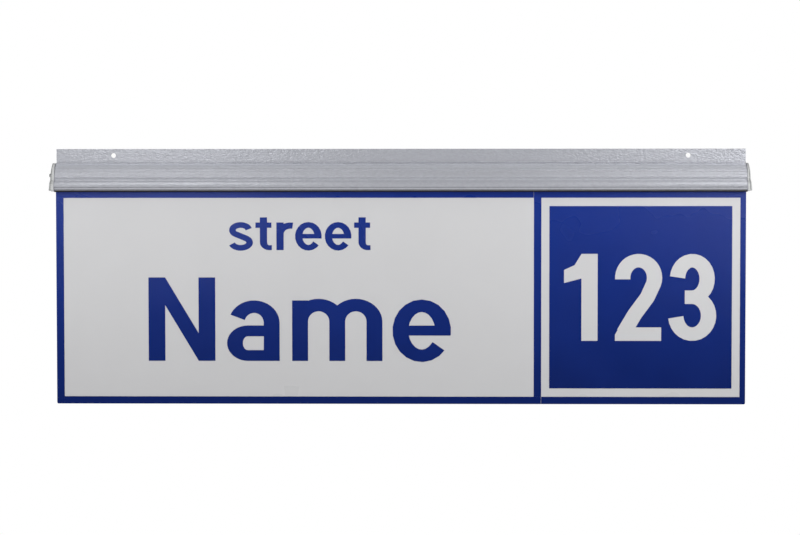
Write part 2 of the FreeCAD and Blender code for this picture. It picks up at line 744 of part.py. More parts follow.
def terminal_block():
    """Block for the supply cord's ends, bonded to the back plate near the grommet."""
    x0 = -HALF_LENGTH + TERMINAL_END
    half = TERMINAL_HEIGHT / 2
    front = PLATE + TERMINAL_DEPTH
    step = TERMINAL_DEPTH / 3
    return prism([
        (PLATE, DRIVER_MIDDLE_DOWN - half, 0.0),
        (front - step, DRIVER_MIDDLE_DOWN - half, 0.0),
        (front, DRIVER_MIDDLE_DOWN - half + step, 0.0),
        (front, DRIVER_MIDDLE_DOWN + half - step, 0.0),
        (front - step, DRIVER_MIDDLE_DOWN + half, 0.0),
        (PLATE, DRIVER_MIDDLE_DOWN + half, 0.0),
    ], x0, x0 + TERMINAL_LENGTH)


def left_cap():
    """The right cap mirrored, with a thicker rim and the grommet's hole."""
    return mirrored(end_cap(LEFT_CAP_RIM)).cut(grommet_hole())


NODES = {
    "back_plate": back_plate,
    "hood": hood,
    "end_cap_left": left_cap,
    "end_cap_right": lambda: end_cap(RIGHT_CAP_RIM),
    "end_gasket_left": lambda: mirrored(end_gasket()),
    "end_gasket_right": end_gasket,
    "cap_screws_left": lambda: mirrored(cap_screws(LEFT_CAP_RIM)),
    "cap_screws_right": lambda: cap_screws(RIGHT_CAP_RIM),
    "cable_grommet": cable_grommet,
    "lip_seal": lip_seal,
    "sign_panel": sign_panel,
    "panel_screws": panel_screws,
    "base_film": base_film,
    "name_border_top": name_border_top,
    "name_border_left": name_border_left,
    "name_border_bottom": name_border_bottom,
    "number_frame_film": number_frame_film,
    "number_field_film": number_field_film,
    "led_boards": led_boards,
    "leds": leds,
    "light_cover": light_cover,
    "led_driver": led_driver,
    "terminal_block": terminal_block,
}

os.makedirs("parts", exist_ok=True)
for name, make in NODES.items():
    shape = make()
    if not shape.isValid() or not shape.Solids:
        raise ValueError(f"{name} is not a valid solid")
    shape.exportStep(f"parts/{name}.step")
    print(f"{name}: {len(shape.Solids)} solids, {shape.Volume:.0f} mm3")
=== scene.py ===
import json
import math
import bpy
from mathutils import Matrix, Vector
from mathutils.geometry import delaunay_2d_cdt


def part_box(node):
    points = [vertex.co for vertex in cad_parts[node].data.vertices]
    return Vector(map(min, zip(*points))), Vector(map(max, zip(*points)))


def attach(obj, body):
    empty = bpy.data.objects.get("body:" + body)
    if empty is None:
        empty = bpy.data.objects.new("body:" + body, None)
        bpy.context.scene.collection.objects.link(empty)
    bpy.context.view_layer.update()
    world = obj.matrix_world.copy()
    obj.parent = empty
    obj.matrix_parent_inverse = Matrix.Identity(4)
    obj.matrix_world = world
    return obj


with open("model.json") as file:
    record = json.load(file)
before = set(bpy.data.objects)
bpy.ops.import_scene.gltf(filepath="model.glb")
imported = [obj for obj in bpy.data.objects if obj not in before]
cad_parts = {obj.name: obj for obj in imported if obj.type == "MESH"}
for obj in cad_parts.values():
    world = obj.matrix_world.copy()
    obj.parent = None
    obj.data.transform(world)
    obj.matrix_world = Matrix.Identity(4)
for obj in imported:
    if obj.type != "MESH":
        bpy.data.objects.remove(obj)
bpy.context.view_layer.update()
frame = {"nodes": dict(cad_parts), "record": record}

# Street name sign, lit as in a studio: hammered silver header, white reflecting face with blue film,
# and plain generic lettering cut from the same films.
# Lengths are in metres. +X runs along the sign, +Z is up, and the face looks along -Y.

MM = 0.001
WHITE = (1.0, 1.0, 1.0, 1.0)

# Camera, fitted to the sign's outline and its two wall holes. Lens and sensor are in millimetres
CAMERA_PLACE = (0.0665, -3.4, -0.0206)
CAMERA_YAW = math.radians(-1.126)
CAMERA_PITCH = math.radians(2.397)
CAMERA_ROLL = math.radians(0.034)
CAMERA_LENS = 105.28
CAMERA_REACH = 50.0
SENSOR_WIDTH = 36.0

# A soft box in front of each half of the sign, which lights it but does not show in its gloss
LAMP_SIZE = 0.5
LAMP_OUT = 0.9
LAMP_SIDE = 0.75
LAMP_RISE = 0.08
LEFT_WATTS = 4.7
RIGHT_WATTS = 5.9

# An upright strip at each side of the camera's line, which shows only in the gloss
STRIP_HEIGHT = 1.80
STRIP_OUT = 1.0
LEFT_STRIP_SPOT = -0.46
LEFT_STRIP_WIDTH = 0.24
LEFT_STRIP_RISE = 0.60
LEFT_STRIP_WATTS = 3.9
RIGHT_STRIP_SPOT = 0.82
RIGHT_STRIP_WIDTH = 0.56
RIGHT_STRIP_RISE = 0.72
RIGHT_STRIP_WATTS = 7.6

# Height that every lamp is turned to
AIM_RISE = -0.15

# Light of the room: soft fill, and how bright the gloss shows the room that the face looks into. The span
# says where that room ends, from -1 straight ahead of the face to 1 straight behind it
FILL = 0.42
ROOM_GLOSS = 0.06
ROOM_SPAN = (-0.2, 0.5)

# Floor under the sign
FLOOR_DROP = 0.75
FLOOR_HALF = 1.5
FLOOR_BACK = 1.0
FLOOR_SHADE = 0.80
FLOOR_ROUGH = 0.9
FLOOR_CLOUD = 200 * MM
FLOOR_DRIFT = 0.02
FLOOR_GLOW = 0.35

# Colours
SILVER = (0.485, 0.495, 0.54)
CAP_GREY = (0.52, 0.53, 0.53)
WHITE_FILM = (0.62, 0.62, 0.63)
BLUE_FILM = (0.004, 0.027, 0.24)
PLATE_SKIN = (0.70, 0.70, 0.69)
PLATE_CORE = (0.012, 0.012, 0.013)
RUBBER = (0.006, 0.006, 0.007)
GASKET = (0.252, 0.252, 0.294)
STEEL = (0.56, 0.56, 0.54)
BOARD = (0.72, 0.72, 0.69)
LED_YELLOW = (0.75, 0.48, 0.06)
OPAL = (0.80, 0.81, 0.82)
DRIVER = (0.68, 0.68, 0.66)

# Below, a cloud is the grain of a colour's slow drift, a drift is how far it goes either way, and a grain
# and a depth are those of the relief. Nearly all noise lies in this span, and it has this much detail
NOISE_SPAN = (0.3, 0.7)
NOISE_DETAIL = 2.0

# Silver paint
SILVER_METAL = 0.25
SILVER_ROUGH = 0.22
SILVER_ROUGH_SPAN = (0.20, 0.24)
SILVER_CLOUD = 40 * MM
SILVER_DRIFT = 0.06

# Hammer marks: soft cells, pushed about by noise and drawn out along the sign, and finer worms on them.
# The heights are parts of the depth
HAMMER_CELL = 2.3 * MM
HAMMER_SOFTNESS = 0.6
HAMMER_DEPTH = 0.42 * MM
HAMMER_STRETCH = (0.50, 1.0, 1.0)
PUSH_GRAIN = 2 * HAMMER_CELL
PUSH = 0.9 * HAMMER_CELL
MARK_SPAN = (0.15, 0.85)
MARK_HEIGHT = (0.6, 0.0)
WORM_GRAIN = 1.3 * HAMMER_CELL
WORM_CURL = 1.2
WORM_SPAN = (0.35, 0.65)
WORM_HEIGHT = (0.0, 0.4)

# Only what stands further out than this has the bands and the turned lip. The lip's shading is turned down,
# as by a slope that comes forward this far from the lip's foot to its head
HOOD_BACK = -3.0 * MM
LIP_FOOT = -50.7 * MM
LIP_HEAD = -35.6 * MM
LIP_TURN = 4.6 * MM

# Level bands of the hood, from its top down: the height of the middle, and half the band's own height
BANDS = {
    "joint": (-10.3 * MM, 0.6 * MM),
    "brow": (-10.9 * MM, 2.9 * MM),
    "reed": (-16.0 * MM, 2.2 * MM),
    "face": (-22.5 * MM, 8.5 * MM),
    "cheek": (-26.4 * MM, 2.9 * MM),
    "cove": (-33.9 * MM, 1.6 * MM),
    "groove": (-46.2 * MM, 0.7 * MM),
    "lip_edge": (-50.7 * MM, 2.0 * MM),
}

# What a band does to the silver: a factor on its colour, which is painted shade below 1 and painted light
# above 1, a later one over an earlier one, and added roughness
BAND_PAINTED_LIGHT = {
    "brow": 1.55,
    "joint": 0.78,
    "reed": 1.10,
    "cheek": 0.90,
    "cove": 0.92,
    "groove": 0.66,
    "lip_edge": 0.52,
}
BAND_DULL = {
    "face": 0.10,
    "cove": 0.40,
}

# Moulded pieces: colour, roughness, grain and depth
MOULD_CLOUD = 30 * MM
MOULD_DRIFT = 0.05
MOULD_DETAIL = 3.0
MOULDED = {
    "gasket_rubber": (GASKET, 0.80, 0.4 * MM, 0.02 * MM),
    "black_rubber": (RUBBER, 0.62, 0.4 * MM, 0.02 * MM),
    "board_white": (BOARD, 0.30, 0.6 * MM, 0.01 * MM),
    "led_yellow": (LED_YELLOW, 0.35, 0.2 * MM, 0.01 * MM),
    "driver_white": (DRIVER, 0.50, 0.5 * MM, 0.03 * MM),
}

# End caps: the outer part is painted darker than the rim as shade, and the crease between them, which leans,
# is darker still with painted shade
CAP_ROUGH = 0.42
CAP_DRIFT = 0.04
CAP_GRAIN = 0.5 * MM
CAP_DEPTH = 0.02 * MM
CAP_OUTER_PAINTED_SHADE = 0.86
CREASE = 501.85 * MM
CREASE_SHIFT = 0.7 * MM
CREASE_LEAN = 0.07
CREASE_HALF = 0.5 * MM
CREASE_PAINTED_SHADE = 0.5

# Films: colour, roughness at the top, and how dark the colour is at the foot, where it is painted darker as
# shade of light that falls off downwards. The roughness at the foot is this part of that at the top, and haze
# makes it drift
FILM_CLEAR = 0.55
FILM_CLOUD = 60 * MM
FILM_DRIFT = 0.06
HAZE_GRAIN = 70 * MM
HAZE = 0.02
RIPPLE_GRAIN = 1.6 * MM
RIPPLE_DETAIL = 1.0
RIPPLE_DEPTH = 0.010 * MM
FILMS = {
    "film_white": (WHITE_FILM, 0.50, 0.89),
    "film_blue": (BLUE_FILM, 0.29, 0.46),
}

# Plate: the thickness of its metal skins, and how little a face looks forward or back to count as a cut edge
SKIN = 0.3 * MM
EDGE_ON = 0.5
PLATE_ROUGH = 0.35
PLATE_CLOUD = 80 * MM
PLATE_DRIFT = 0.03
PLATE_GRAIN = 1.2 * MM
PLATE_DEPTH = 0.015 * MM

# Screws
STEEL_ROUGH = 0.32
STEEL_ROUGH_SPAN = (0.26, 0.42)
STEEL_ROUGH_GRAIN = 0.8 * MM
STEEL_CLOUD = 1.5 * MM
STEEL_DRIFT = 0.10
STEEL_GRAIN = 0.3 * MM
STEEL_DEPTH = 0.01 * MM

# Light cover: how clear and how milky it is, and its grain, which is drawn out along the sign
OPAL_ROUGH = 0.45
OPAL_CLEAR = 0.30
OPAL_MILK = 0.25
OPAL_SPREAD = 2 * MM
OPAL_CLOUD = 50 * MM
OPAL_DRIFT = 0.03
OPAL_STRETCH = (0.1, 1.0, 1.0)
OPAL_GRAIN = 0.8 * MM
OPAL_DEPTH = 0.01 * MM

# Lettering is film of this thickness, let into what it lies on by a hair
FILM = 0.2 * MM
FILM_BED = 0.02 * MM

# Strokes, on a grid on which a capital is 1 high: a stem is the width of upright runs, and a tall that of
# level ones
LETTER_STEM = 0.19
LETTER_TALL = 0.15
BOWL_TALL = 0.13
ARM_TALL = 0.16
SPINE_STEM = 0.175
DIGIT_STEM = 0.175
DIGIT_TALL = 0.155
LOWER_CASE = 0.725
ARC_STEPS = 20

# How near two points of a word are one, and the mesher's sign for triangles inside the strokes only
MERGE = 1e-5
INSIDE_ONLY = 1

# Places of the words and the number
NAME_CENTRE = -146.0 * MM
SMALL_BASE = -137.3 * MM
SMALL_HEIGHT = 55.3 * MM
LARGE_BASE = -298.5 * MM
LARGE_HEIGHT = 121.5 * MM
DIGIT_BASE = -268.8 * MM
DIGIT_HEIGHT = 126.1 * MM


# Node helpers for the materials

def material(name, colour, rough, metal=0.0):
    """A new material, its node tree and its main shader."""
    paint = bpy.data.materials.new(name)
    paint.use_nodes = True
    shader = paint.node_tree.nodes["Principled BSDF"]
    shader.inputs["Base Color"].default_value = (*colour, 1.0)
    shader.inputs["Roughness"].default_value = rough
    shader.inputs["Metallic"].default_value = metal
    return paint, paint.node_tree, shader


def place(tree):
    """Where a point lies on the object, in metres."""
    return tree.nodes.new("ShaderNodeTexCoord").outputs["Object"]


def split(tree, vector):
    """The x, y and z of a vector."""
    node = tree.nodes.new("ShaderNodeSeparateXYZ")
    tree.links.new(vector, node.inputs[0])
    return node.outputs


def stretched(tree, spot, scale):
    """The place, scaled differently along each axis."""
    node = tree.nodes.new("ShaderNodeMapping")
    node.inputs["Scale"].default_value = scale
    tree.links.new(spot, node.inputs["Vector"])
    return node.outputs["Vector"]


def noise(tree, spot, grain, detail=NOISE_DETAIL, distortion=0.0):
    """Smooth noise whose blobs are about a grain apart."""
    node = tree.nodes.new("ShaderNodeTexNoise")
    node.inputs["Scale"].default_value = 1.0 / grain
    node.inputs["Detail"].default_value = detail
    node.inputs["Distortion"].default_value = distortion
    tree.links.new(spot, node.inputs["Vector"])
    return node.outputs["Fac"]


def cells(tree, spot, size, softness):
    """Distance from the middle of soft-edged cells."""
    node = tree.nodes.new("ShaderNodeTexVoronoi")
    node.feature = "SMOOTH_F1"
    node.inputs["Scale"].default_value = 1.0 / size
    node.inputs["Smoothness"].default_value = softness
    tree.links.new(spot, node.inputs["Vector"])
    return node.outputs["Distance"]


def pushed(tree, spot, grain, amount):
    """The place, pushed about by noise."""
    node = tree.nodes.new("ShaderNodeTexNoise")
    node.inputs["Scale"].default_value = 1.0 / grain
    tree.links.new(spot, node.inputs["Vector"])
    push = tree.nodes.new("ShaderNodeVectorMath")
    push.operation = "SCALE"
    push.inputs["Scale"].default_value = amount
    tree.links.new(node.outputs["Color"], push.inputs[0])
    total = tree.nodes.new("ShaderNodeVectorMath")
    total.operation = "ADD"
    tree.links.new(spot, total.inputs[0])
    tree.links.new(push.outputs[0], total.inputs[1])
    return total.outputs[0]


def remap(tree, value, span, new_span):
    """The value, with one span drawn onto another and held within it."""
    node = tree.nodes.new("ShaderNodeMapRange")
    names = ("From Min", "From Max", "To Min", "To Max")
    for name, limit in zip(names, (*span, *new_span)):
        node.inputs[name].default_value = limit
    tree.links.new(value, node.inputs["Value"])
    return node.outputs["Result"]


def maths(tree, operation, a, b=0.0):
    """One sum on one or two values, each a socket or a number."""
    node = tree.nodes.new("ShaderNodeMath")
    node.operation = operation
    for value, slot in ((a, node.inputs[0]), (b, node.inputs[1])):
        if isinstance(value, (int, float)):
            slot.default_value = value
        else:
            tree.links.new(value, slot)
    return node.outputs[0]


def near(tree, value, middle, half):
    """One where the value lies near the middle, and zero elsewhere."""
    distance = maths(tree, "ABSOLUTE", maths(tree, "SUBTRACT", value, middle))
    return maths(tree, "LESS_THAN", distance, half)


def mixed(tree, factor, colour_a, colour_b):
    """A blend of two colours, each a socket or three numbers."""
    node = tree.nodes.new("ShaderNodeMix")
    node.data_type = "RGBA"
    tree.links.new(factor, node.inputs["Factor"])
    for colour, slot in ((colour_a, node.inputs[6]), (colour_b, node.inputs[7])):
        if isinstance(colour, tuple):
            slot.default_value = (*colour, 1.0)
        else:
            tree.links.new(colour, slot)
    return node.outputs[2]


def shade(colour, factor):
    """A lighter or darker colour."""
    return tuple(channel * factor for channel in colour)


def drifting(tree, pattern, colour, amount):
    """A colour that drifts a little with the pattern."""
    return mixed(tree, pattern, shade(colour, 1 - amount), shade(colour, 1 + amount))


def bump(tree, shader, height, distance):
    """Relief on the shader, as deep as the distance where the height is 1."""
    node = tree.nodes.new("ShaderNodeBump")
    node.inputs["Distance"].default_value = distance
    tree.links.new(height, node.inputs["Height"])
    tree.links.new(node.outputs["Normal"], shader.inputs["Normal"])


def vary(tree, shader, colour, pattern, amount):
    """Gives the shader a colour that drifts a little with the pattern."""
    tree.links.new(drifting(tree, pattern, colour, amount), shader.inputs["Base Color"])


# Materials

def hammer_marks(tree, spot):
    """Height of the hammer marks and the worms on them."""
    drawn_out = stretched(tree, spot, HAMMER_STRETCH)
    marks = cells(tree, pushed(tree, drawn_out, PUSH_GRAIN, PUSH), HAMMER_CELL, HAMMER_SOFTNESS)
    worms = noise(tree, drawn_out, WORM_GRAIN, distortion=WORM_CURL)
    marks = remap(tree, marks, MARK_SPAN, MARK_HEIGHT)
    worms = remap(tree, worms, WORM_SPAN, WORM_HEIGHT)
    return maths(tree, "ADD", marks, worms)


def hammered_silver():
    """Silver paint drawn into small hammer marks, with bands of the hood painted darker as shade or brighter
    as light, and some bands duller.
    """
    paint, tree, shader = material("hammered_silver", SILVER, SILVER_ROUGH, SILVER_METAL)
    spot = place(tree)
    _, y, z = split(tree, spot)
    on_hood = maths(tree, "LESS_THAN", y, HOOD_BACK)
    bands = {}
    for name, (middle, half) in BANDS.items():
        bands[name] = maths(tree, "MULTIPLY", near(tree, z, middle, half), on_hood)
    marks = hammer_marks(tree, spot)
    turn = remap(tree, z, (LIP_FOOT, LIP_HEAD), (0.0, LIP_TURN / HAMMER_DEPTH))
    bump(tree, shader, maths(tree, "ADD", marks, maths(tree, "MULTIPLY", turn, on_hood)), HAMMER_DEPTH)
    tint = drifting(tree, marks, SILVER, SILVER_DRIFT)
    # Bands of painted shade and painted light on the hood's colour
    for name, painted_factor in BAND_PAINTED_LIGHT.items():
        tint = mixed(tree, bands[name], tint, drifting(tree, marks, shade(SILVER, painted_factor), SILVER_DRIFT))
    tree.links.new(tint, shader.inputs["Base Color"])
    rough = remap(tree, noise(tree, spot, SILVER_CLOUD), NOISE_SPAN, SILVER_ROUGH_SPAN)
    for name, dull in BAND_DULL.items():
        rough = maths(tree, "ADD", rough, maths(tree, "MULTIPLY", bands[name], dull))
    tree.links.new(rough, shader.inputs["Roughness"])
    return paint


def cap_plastic():
    """Moulded grey plastic, with painted shade on a cap's outer part and darker painted shade in the crease
    between it and the rim.
    """
    paint, tree, shader = material("cap_grey", CAP_GREY, CAP_ROUGH)
    spot = place(tree)
    x, _, z = split(tree, spot)
    reach = maths(tree, "ABSOLUTE", maths(tree, "ADD", x, CREASE_SHIFT))
    reach = maths(tree, "ADD", reach, maths(tree, "MULTIPLY", z, CREASE_LEAN))
    tint = drifting(tree, noise(tree, spot, MOULD_CLOUD), CAP_GREY, CAP_DRIFT)
    # Painted shade: the outer part darker, and the crease between it and the rim darker still
    tint = mixed(tree, maths(tree, "GREATER_THAN", reach, CREASE), tint, shade(CAP_GREY, CAP_OUTER_PAINTED_SHADE))
    tint = mixed(tree, near(tree, reach, CREASE, CREASE_HALF), tint, shade(CAP_GREY, CREASE_PAINTED_SHADE))
    tree.links.new(tint, shader.inputs["Base Color"])
    bump(tree, shader, noise(tree, spot, CAP_GRAIN, MOULD_DETAIL), CAP_DEPTH)
    return paint


def moulded(name, colour, rough, grain, depth):
    """Moulded plastic or rubber with a fine grain and faint cloudiness."""
    paint, tree, shader = material(name, colour, rough)
    spot = place(tree)
    vary(tree, shader, colour, noise(tree, spot, MOULD_CLOUD), MOULD_DRIFT)
    bump(tree, shader, noise(tree, spot, grain, MOULD_DETAIL), depth)
    return paint


def film(name, colour, rough, foot_painted_shade):
    """Stuck-down film, cloudy and faintly rippled, with a painted sheen that leaves its colour darker towards
    its foot, where it is also clearer.
    """
    paint, tree, shader = material(name, colour, rough)
    spot = place(tree)
    _, _, z = split(tree, spot)
    lowest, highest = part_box("base_film")
    rise = (lowest.z, highest.z)
    # Painted sheen and shade: the colour is painted lighter at the top and darker at the foot
    painted_sheen = remap(tree, z, rise, (0.0, 1.0))
    cloud = remap(tree, noise(tree, spot, FILM_CLOUD), NOISE_SPAN, (-FILM_DRIFT, FILM_DRIFT))
    tint = mixed(tree, maths(tree, "ADD", painted_sheen, cloud), shade(colour, foot_painted_shade), colour)
    tree.links.new(tint, shader.inputs["Base Color"])
    bump(tree, shader, noise(tree, spot, RIPPLE_GRAIN, RIPPLE_DETAIL), RIPPLE_DEPTH)
    haze = remap(tree, noise(tree, spot, HAZE_GRAIN), NOISE_SPAN, (-HAZE, HAZE))
    matt = remap(tree, z, rise, (FILM_CLEAR * rough, rough))
    tree.links.new(maths(tree, "ADD", matt, haze), shader.inputs["Roughness"])
    return paint


def plate_white():
    """Painted metal skins with a dark core between them, which shows at the cut edges."""
    paint, tree, shader = material("plate_white", PLATE_SKIN, PLATE_ROUGH)
    spot = place(tree)
    _, y, _ = split(tree, spot)
    _, forward, _ = split(tree, tree.nodes.new("ShaderNodeNewGeometry").outputs["Normal"])
    lowest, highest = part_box("sign_panel")
    cut_edge = maths(tree, "LESS_THAN", maths(tree, "ABSOLUTE", forward), EDGE_ON)
    past_front = maths(tree, "GREATER_THAN", y, lowest.y + SKIN)
    before_back = maths(tree, "LESS_THAN", y, highest.y - SKIN)
    core = maths(tree, "MULTIPLY", maths(tree, "MULTIPLY", past_front, before_back), cut_edge)
    skin = drifting(tree, noise(tree, spot, PLATE_CLOUD), PLATE_SKIN, PLATE_DRIFT)
    tree.links.new(mixed(tree, core, skin, PLATE_CORE), shader.inputs["Base Color"])
    bump(tree, shader, noise(tree, spot, PLATE_GRAIN), PLATE_DEPTH)
    return paint


def screw_steel():
    """Zinc-plated steel with faint turning marks."""
    paint, tree, shader = material("screw_steel", STEEL, STEEL_ROUGH, metal=1.0)
    spot = place(tree)
    vary(tree, shader, STEEL, noise(tree, spot, STEEL_CLOUD), STEEL_DRIFT)
    bump(tree, shader, noise(tree, spot, STEEL_GRAIN), STEEL_DEPTH)
    rough = remap(tree, noise(tree, spot, STEEL_ROUGH_GRAIN), NOISE_SPAN, STEEL_ROUGH_SPAN)
    tree.links.new(rough, shader.inputs["Roughness"])
    return paint


def opal_cover():
    """Milky strip that spreads the light."""
    paint, tree, shader = material("opal_cover", OPAL, OPAL_ROUGH)
    shader.inputs["Transmission Weight"].default_value = OPAL_CLEAR
    shader.inputs["Subsurface Weight"].default_value = OPAL_MILK
    shader.inputs["Subsurface Radius"].default_value = (OPAL_SPREAD, OPAL_SPREAD, OPAL_SPREAD)
    spot = place(tree)
    vary(tree, shader, OPAL, noise(tree, spot, OPAL_CLOUD), OPAL_DRIFT)
    bump(tree, shader, noise(tree, stretched(tree, spot, OPAL_STRETCH), OPAL_GRAIN), OPAL_DEPTH)
    return paint


def make_paints():
    """Every material, by its slot."""
    paints = {
        "hammered_silver": hammered_silver(),
        "cap_grey": cap_plastic(),
        "screw_steel": screw_steel(),
        "plate_white": plate_white(),
        "opal_cover": opal_cover(),
    }
    for slot, values in MOULDED.items():
        paints[slot] = moulded(slot, *values)
    for slot, values in FILMS.items():
        paints[slot] = film(slot, *values)
    return paints


# Letter shapes, as strokes on the grid

def bar(x0, y0, x1, y1):
    """An upright or level stroke."""
    return [(x0, y0), (x1, y0), (x1, y1), (x0, y1)]


def bend(x, y, across, up, start, end):
    """Points along part of an ellipse, the angles in degrees."""
    angles = [math.radians(start + (end - start) * i / ARC_STEPS) for i in range(ARC_STEPS + 1)]
    return [(x + across * math.cos(a), y + up * math.sin(a)) for a in angles]


def pen(path, wide, tall):
    """A stroke along a path, drawn with a nib that is wide across upright runs and tall across level ones."""
    left, right = [], []
    for i, (x, y) in enumerate(path):
        before = path[max(i - 1, 0)]
        after = path[min(i + 1, len(path) - 1)]
        run = Vector((after[0] - before[0], after[1] - before[1])).normalized()
        step_x, step_y = -run.y * wide / 2, run.x * tall / 2
        left.append((x + step_x, y + step_y))
        right.append((x - step_x, y - step_y))
    return left + right[::-1]


def letter_n_capital():
    slant = [(0.0, 1.0), (0.60, 0.0), (0.80, 0.0), (0.20, 1.0)]
    return [bar(0.0, 0.0, 0.20, 1.0), bar(0.60, 0.0, 0.80, 1.0), slant]


def letter_a():
    arch = bend(0.325, 0.455, 0.21, 0.195, 160, 0) + [(0.535, 0.0)]
    bowl = [(0.50, 0.36)] + bend(0.25, 0.2125, 0.155, 0.1475, 90, 270) + [(0.50, 0.065)]
    return [pen(arch, LETTER_STEM, LETTER_TALL), pen(bowl, LETTER_STEM, BOWL_TALL)]


def letter_m():
    strokes = [bar(0.0, 0.0, LETTER_STEM, LOWER_CASE)]
    for left in (0.0, 0.445):
        arch = bend(left + 0.3175, 0.47, 0.2225, 0.20, 180, 0) + [(left + 0.54, 0.0)]
        strokes.append(pen(arch, LETTER_STEM, LETTER_TALL))
    return strokes


def letter_e():
    ring = bend(0.35, 0.3625, 0.255, 0.30, -10, 322)
    return [pen(ring, LETTER_STEM, LETTER_TALL), bar(0.12, 0.305, 0.69, 0.425)]


def letter_s():
    spine = bend(0.32, 0.525, 0.215, 0.135, 10, 225) + bend(0.32, 0.20, 0.235, 0.14, 45, -165)
    return [pen(spine, SPINE_STEM, LETTER_TALL)]


def letter_t():
    stem = [(0.21, 0.86), (0.21, 0.22)] + bend(0.36, 0.21, 0.15, 0.145, 190, 270) + [(0.43, 0.065)]
    return [pen(stem, LETTER_STEM, BOWL_TALL), bar(0.0, 0.585, 0.42, LOWER_CASE)]


def letter_r():
    arm = bend(0.37, 0.42, 0.275, 0.225, 180, 78)
    return [bar(0.0, 0.0, LETTER_STEM, LOWER_CASE), pen(arm, LETTER_STEM, ARM_TALL)]


def digit_1():
    flag = [(0.0, 0.665), (0.21, 0.72), (0.25, 1.0), (0.20, 1.0), (0.12, 0.87), (0.0, 0.815)]
    return [bar(0.20, 0.0, 0.385, 1.0), flag]


def digit_2():
    across = 0.27 - DIGIT_STEM / 2
    up = 0.275 - DIGIT_TALL / 2
    sweep = bend(0.27, 0.725, across, up, 185, -20) + [(0.37, 0.50), (0.23, 0.31), (0.10, 0.09)]
    foot = [(0.0, 0.0), (0.53, 0.0), (0.53, DIGIT_TALL), (0.05, DIGIT_TALL), (0.0, 0.07)]
    return [pen(sweep, DIGIT_STEM, DIGIT_TALL), foot]


def digit_3():
    upper = bend(0.255, 0.7125, 0.17, 0.21, 175, -90) + [(0.17, 0.5025)]
    lower = [(0.17, 0.5025)] + bend(0.255, 0.29, 0.188, 0.2125, 90, -175)
    return [pen(upper, DIGIT_STEM, DIGIT_TALL), pen(lower, DIGIT_STEM, DIGIT_TALL)]


# Each character's strokes, its width, and the room to leave at its left and right
CHARACTERS = {
    "N": (letter_n_capital, 0.80, 0.10, 0.09),
    "a": (letter_a, 0.66, 0.05, 0.04),
    "m": (letter_m, 1.08, 0.08, 0.08),
    "e": (letter_e, 0.70, 0.04, 0.04),
    "s": (letter_s, 0.64, 0.05, 0.04),
    "t": (letter_t, 0.43, 0.03, 0.03),
    "r": (letter_r, 0.45, 0.09, 0.00),
    "1": (digit_1, 0.385, 0.05, 0.15),
    "2": (digit_2, 0.53, 0.05, 0.05),
    "3": (digit_3, 0.54, 0.05, 0.05),
}


def counter_clockwise(outline):
    """The outline, turned so that it runs counter-clockwise."""
    area = sum(a[0] * b[1] - b[0] * a[1] for a, b in zip(outline, outline[1:] + outline[:1]))
    return outline if area > 0 else outline[::-1]


def word_strokes(text):
    """All the strokes of a word side by side, and its width."""
    strokes = []
    x = 0.0
    for i, character in enumerate(text):
        draw, width, left, right = CHARACTERS[character]
        x += left if i else 0.0
        strokes += [[(x + px, py) for px, py in stroke] for stroke in draw()]
        x += width + (right if i < len(text) - 1 else 0.0)
    return strokes, x


def merged(strokes):
    """The strokes as one flat sheet: its points and its triangles."""
    points, faces = [], []
    for stroke in strokes:
        outline = counter_clockwise(stroke)
        faces.append(list(range(len(points), len(points) + len(outline))))
        points += [Vector(p) for p in outline]
    flat, _, triangles, _, _, sources = delaunay_2d_cdt(points, [], faces, INSIDE_ONLY, MERGE)
    return flat, [list(t) for t, source in zip(triangles, sources) if source]


def film_word(name, text, centre, base, height, back):
    """A word cut from film, on a surface whose place is back: two skins and the walls between their rims."""
    strokes, width = word_strokes(text)
    flat, sheet = merged(strokes)
    places = []
    for y in (back - FILM, back + FILM_BED):
        places += [(centre + (p.x - width / 2) * height, y, base + p.y * height) for p in flat]
    edges = set()
    for face in sheet:
        edges.update(zip(face, face[1:] + face[:1]))
    rim = [(a, b) for a, b in edges if (b, a) not in edges]
    count = len(flat)
    skins = sheet + [[i + count for i in reversed(face)] for face in sheet]
    walls = [[b, a, a + count, b + count] for a, b in rim]
    mesh = bpy.data.meshes.new(name)
    mesh.from_pydata(places, [], skins + walls)
    mesh.validate()
    word = bpy.data.objects.new(name, mesh)
    bpy.context.scene.collection.objects.link(word)
    return word


def add(piece, paint):
    """Makes a new piece part of the sign, with its material."""
    piece.data.materials.clear()
    piece.data.materials.append(paint)
    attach(piece, "root")


def lettering(paints):
    """Two words on the name field and a number in the square."""
    name_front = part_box("base_film")[0].y
    lowest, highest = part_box("number_field_film")
    number_centre = (lowest.x + highest.x) / 2
    for name, text, centre, base, height, back, slot in (
        ("small_word", "street", NAME_CENTRE, SMALL_BASE, SMALL_HEIGHT, name_front, "film_blue"),
        ("large_word", "Name", NAME_CENTRE, LARGE_BASE, LARGE_HEIGHT, name_front, "film_blue"),
        ("number", "123", number_centre, DIGIT_BASE, DIGIT_HEIGHT, lowest.y, "film_white"),
    ):
        add(film_word(name, text, centre, base, height, back), paints[slot])


# The studio

def make_camera():
    """The camera, turned by its yaw, then its pitch, then its roll."""
    data = bpy.data.cameras.new("camera")
    data.lens = CAMERA_LENS
    data.sensor_width = SENSOR_WIDTH
    data.clip_end = CAMERA_REACH
    camera = bpy.data.objects.new("camera", data)
    bpy.context.scene.collection.objects.link(camera)
    level = Matrix(((1, 0, 0), (0, 0, 1), (0, -1, 0)))
    turn = (Matrix.Rotation(CAMERA_ROLL, 3, "Z") @ Matrix.Rotation(CAMERA_PITCH, 3, "X")
            @ Matrix.Rotation(CAMERA_YAW, 3, "Y") @ level)
    camera.matrix_world = Matrix.Translation(CAMERA_PLACE) @ turn.transposed().to_4x4()
    bpy.context.scene.camera = camera


